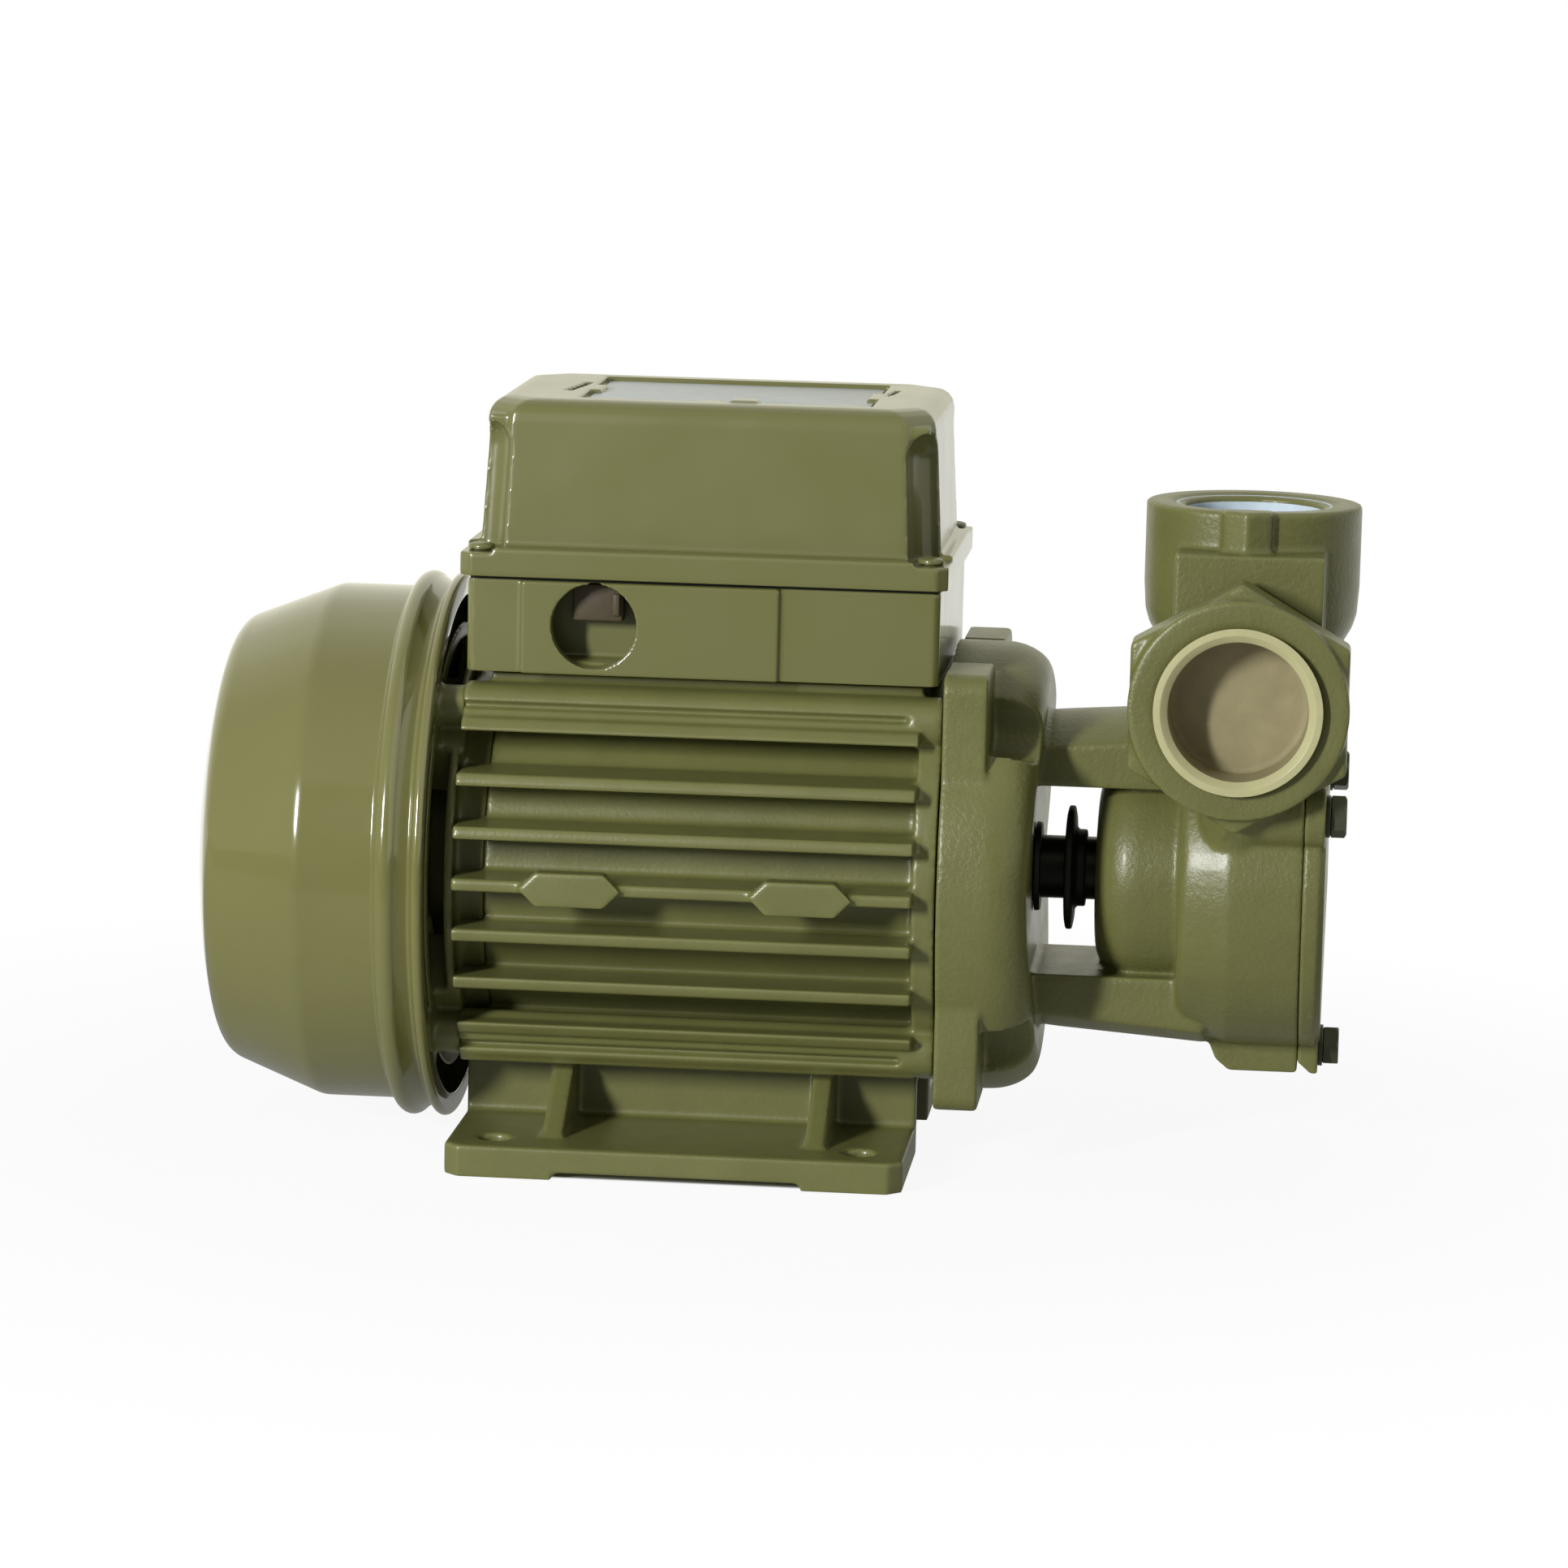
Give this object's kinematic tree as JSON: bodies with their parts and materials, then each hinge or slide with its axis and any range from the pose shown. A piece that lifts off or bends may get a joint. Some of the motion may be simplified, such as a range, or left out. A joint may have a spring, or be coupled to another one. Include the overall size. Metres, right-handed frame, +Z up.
{
  "type": "electric water pump",
  "caption": "Close-coupled electric water pump: finned foot-mounted motor with fan cover and terminal box, open lantern, and a cast pump end with screwed side and top ports.",
  "frame": {"origin": "centre of the rectangle of the four foot holes, on the plane the feet stand on", "axes": "+X along the shaft towards the pump end, +Z up, -Y on the side of the suction port and the cable entry"},
  "size_m": [0.2536, 0.1224, 0.1669],
  "materials": {
    "cast_aluminium_paint": "satin",
    "cast_iron_paint": "satin",
    "cover_paint": "gloss",
    "box_plastic": "satin",
    "electrical_steel": "satin",
    "copper_winding": "gloss",
    "bearing_steel": "polished",
    "spring_steel": "satin",
    "dark_shaft_steel": "satin",
    "dark_bolt_steel": "satin",
    "black_rubber": "matte",
    "seal_ceramic": "satin",
    "seal_carbon": "matte",
    "impeller_brass": "satin",
    "cage_brass": "satin",
    "rotor_aluminium": "satin",
    "fan_plastic": "matte",
    "black_plastic": "matte",
    "capacitor_plastic": "satin",
    "plate_aluminium": "satin",
    "terminal_brass": "satin",
    "lead_insulation": "satin"
  },
  "bodies": {
    "frame": {"motor_housing": "cast_aluminium_paint", "motor_feet": "cast_aluminium_paint", "front_flange": "cast_aluminium_paint", "rear_shield": "cast_aluminium_paint", "stator_core": "electrical_steel", "stator_windings": "copper_winding", "front_bearing_outer": "bearing_steel", "rear_bearing_outer": "bearing_steel", "wave_washer": "spring_steel", "fan_cover": "cover_paint", "pump_bracket": "cast_iron_paint", "tie_bolts": "dark_bolt_steel", "seal_seat": "seal_ceramic", "seal_seat_gasket": "black_rubber", "pump_cover": "cast_iron_paint", "cover_o_ring": "black_rubber", "cover_bolts": "dark_bolt_steel", "cover_washers": "dark_bolt_steel", "terminal_box_base": "box_plastic", "box_seat_gasket": "black_rubber", "box_base_screws": "spring_steel", "lid_gasket": "black_rubber", "terminal_box_lid": "box_plastic", "lid_screws": "spring_steel", "terminal_block": "black_plastic", "terminal_screws": "terminal_brass", "capacitor": "capacitor_plastic", "capacitor_cradle": "black_plastic", "rating_plate": "plate_aluminium", "earth_screw": "terminal_brass", "lead_wires": "lead_insulation"},
    "rotor": {"shaft": "dark_shaft_steel", "rotor_core": "electrical_steel", "rotor_end_rings": "rotor_aluminium", "front_bearing_inner": "bearing_steel", "rear_bearing_inner": "bearing_steel", "cooling_fan": "fan_plastic", "fan_circlip": "spring_steel", "slinger": "black_rubber", "dust_ring": "black_rubber", "seal_head": "seal_carbon", "seal_spring": "spring_steel", "seal_retainer": "spring_steel", "impeller_key": "spring_steel", "impeller": "impeller_brass", "impeller_circlip": "spring_steel"},
    "front_cage": {"front_bearing_cage": "cage_brass", "front_bearing_balls": "bearing_steel"},
    "rear_cage": {"rear_bearing_cage": "cage_brass", "rear_bearing_balls": "bearing_steel"}
  },
  "joints": [
    {"name": "rotor_spin", "type": "hinge", "parent": "frame", "child": "rotor", "pos_m": [0, 0, 0.063], "axis": [1, 0, 0], "continuous": true},
    {"name": "front_cage_spin", "type": "hinge", "parent": "frame", "child": "front_cage", "pos_m": [0.0625, 0, 0.063], "axis": [1, 0, 0], "continuous": true},
    {"name": "rear_cage_spin", "type": "hinge", "parent": "frame", "child": "rear_cage", "pos_m": [-0.0515, 0, 0.063], "axis": [1, 0, 0], "continuous": true}
  ],
  "couplings": [
    {"joint": "front_cage_spin", "follows": "rotor_spin", "ratio": 0.38},
    {"joint": "rear_cage_spin", "follows": "rotor_spin", "ratio": 0.38}
  ]
}
